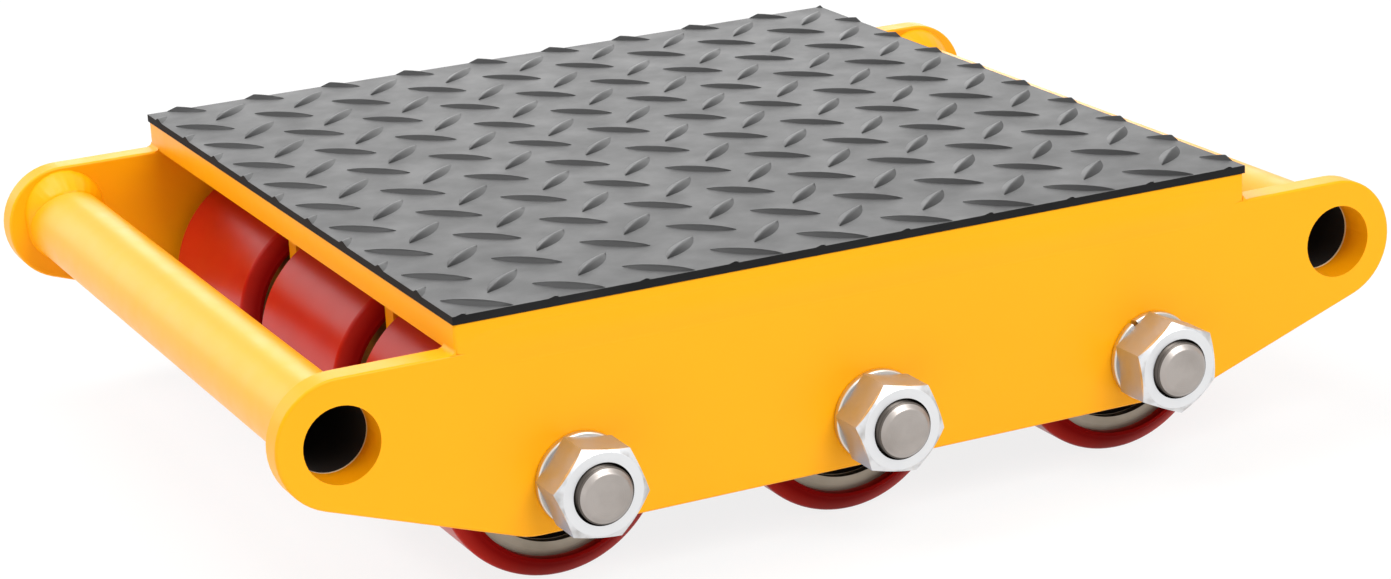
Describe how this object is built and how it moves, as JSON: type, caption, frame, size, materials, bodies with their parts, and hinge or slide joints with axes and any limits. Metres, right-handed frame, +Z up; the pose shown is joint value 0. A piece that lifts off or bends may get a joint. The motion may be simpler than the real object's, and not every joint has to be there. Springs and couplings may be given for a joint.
{
  "type": "machine skate",
  "caption": "Low rigid load skate: welded steel frame with a rubber-topped platform on axles of bevelled polyurethane rollers, with tow holes and a handle tube at each end.",
  "frame": {"origin": "on the floor, under the middle of the platform", "axes": "+X along the skate, the way it rolls; +Y across it along the axles, to the side that faces away in the picture; +Z up"},
  "size_m": [0.429, 0.365, 0.1058],
  "materials": {
    "yellow_paint": "smooth powder coat, semi-gloss",
    "mat_rubber": "moulded, matt",
    "polyurethane": "cast polyurethane, glossy",
    "core_steel": "turned",
    "axle_steel": "turned, satin",
    "zinc_plate": "bright zinc plated",
    "bearing_steel": "ground",
    "spacer_steel": "turned",
    "seal_rubber": "moulded, matt"
  },
  "bodies": {
    "frame": {"axle_end_spacers": "spacer_steel", "axle_left": "axle_steel", "axle_middle": "axle_steel", "axle_nuts": "zinc_plate", "axle_right": "axle_steel", "axle_spacers": "spacer_steel", "axle_washers": "zinc_plate", "bearing_distance_tubes": "spacer_steel", "bearing_inner_rings": "bearing_steel", "divider_plate_front": "yellow_paint", "divider_plate_rear": "yellow_paint", "divider_welds": "yellow_paint", "handle_tube_left": "yellow_paint", "handle_tube_right": "yellow_paint", "handle_welds": "yellow_paint", "platform_welds": "yellow_paint", "rubber_mat": "mat_rubber", "side_plate_front": "yellow_paint", "side_plate_rear": "yellow_paint", "top_plate": "yellow_paint"},
    "roller_left_front": {"tread_left_front": "polyurethane", "core_left_front": "core_steel", "bearing_outer_rings_left_front": "bearing_steel", "bearing_seals_left_front": "seal_rubber"},
    "roller_left_centre": {"tread_left_centre": "polyurethane", "core_left_centre": "core_steel", "bearing_outer_rings_left_centre": "bearing_steel", "bearing_seals_left_centre": "seal_rubber"},
    "roller_left_rear": {"tread_left_rear": "polyurethane", "core_left_rear": "core_steel", "bearing_outer_rings_left_rear": "bearing_steel", "bearing_seals_left_rear": "seal_rubber"},
    "roller_middle_front": {"tread_middle_front": "polyurethane", "core_middle_front": "core_steel", "bearing_outer_rings_middle_front": "bearing_steel", "bearing_seals_middle_front": "seal_rubber"},
    "roller_middle_centre": {"tread_middle_centre": "polyurethane", "core_middle_centre": "core_steel", "bearing_outer_rings_middle_centre": "bearing_steel", "bearing_seals_middle_centre": "seal_rubber"},
    "roller_middle_rear": {"tread_middle_rear": "polyurethane", "core_middle_rear": "core_steel", "bearing_outer_rings_middle_rear": "bearing_steel", "bearing_seals_middle_rear": "seal_rubber"},
    "roller_right_front": {"tread_right_front": "polyurethane", "core_right_front": "core_steel", "bearing_outer_rings_right_front": "bearing_steel", "bearing_seals_right_front": "seal_rubber"},
    "roller_right_centre": {"tread_right_centre": "polyurethane", "core_right_centre": "core_steel", "bearing_outer_rings_right_centre": "bearing_steel", "bearing_seals_right_centre": "seal_rubber"},
    "roller_right_rear": {"tread_right_rear": "polyurethane", "core_right_rear": "core_steel", "bearing_outer_rings_right_rear": "bearing_steel", "bearing_seals_right_rear": "seal_rubber"}
  },
  "joints": [
    {"name": "roller_left_front_spin", "type": "hinge", "parent": "frame", "child": "roller_left_front", "pos_m": [-0.111, -0.1, 0.0415], "axis": [0, 1, 0], "continuous": true},
    {"name": "roller_left_centre_spin", "type": "hinge", "parent": "frame", "child": "roller_left_centre", "pos_m": [-0.111, 0, 0.0415], "axis": [0, 1, 0], "continuous": true},
    {"name": "roller_left_rear_spin", "type": "hinge", "parent": "frame", "child": "roller_left_rear", "pos_m": [-0.111, 0.1, 0.0415], "axis": [0, 1, 0], "continuous": true},
    {"name": "roller_middle_front_spin", "type": "hinge", "parent": "frame", "child": "roller_middle_front", "pos_m": [0, -0.1, 0.0415], "axis": [0, 1, 0], "continuous": true},
    {"name": "roller_middle_centre_spin", "type": "hinge", "parent": "frame", "child": "roller_middle_centre", "pos_m": [0, 0, 0.0415], "axis": [0, 1, 0], "continuous": true},
    {"name": "roller_middle_rear_spin", "type": "hinge", "parent": "frame", "child": "roller_middle_rear", "pos_m": [0, 0.1, 0.0415], "axis": [0, 1, 0], "continuous": true},
    {"name": "roller_right_front_spin", "type": "hinge", "parent": "frame", "child": "roller_right_front", "pos_m": [0.111, -0.1, 0.0415], "axis": [0, 1, 0], "continuous": true},
    {"name": "roller_right_centre_spin", "type": "hinge", "parent": "frame", "child": "roller_right_centre", "pos_m": [0.111, 0, 0.0415], "axis": [0, 1, 0], "continuous": true},
    {"name": "roller_right_rear_spin", "type": "hinge", "parent": "frame", "child": "roller_right_rear", "pos_m": [0.111, 0.1, 0.0415], "axis": [0, 1, 0], "continuous": true}
  ]
}
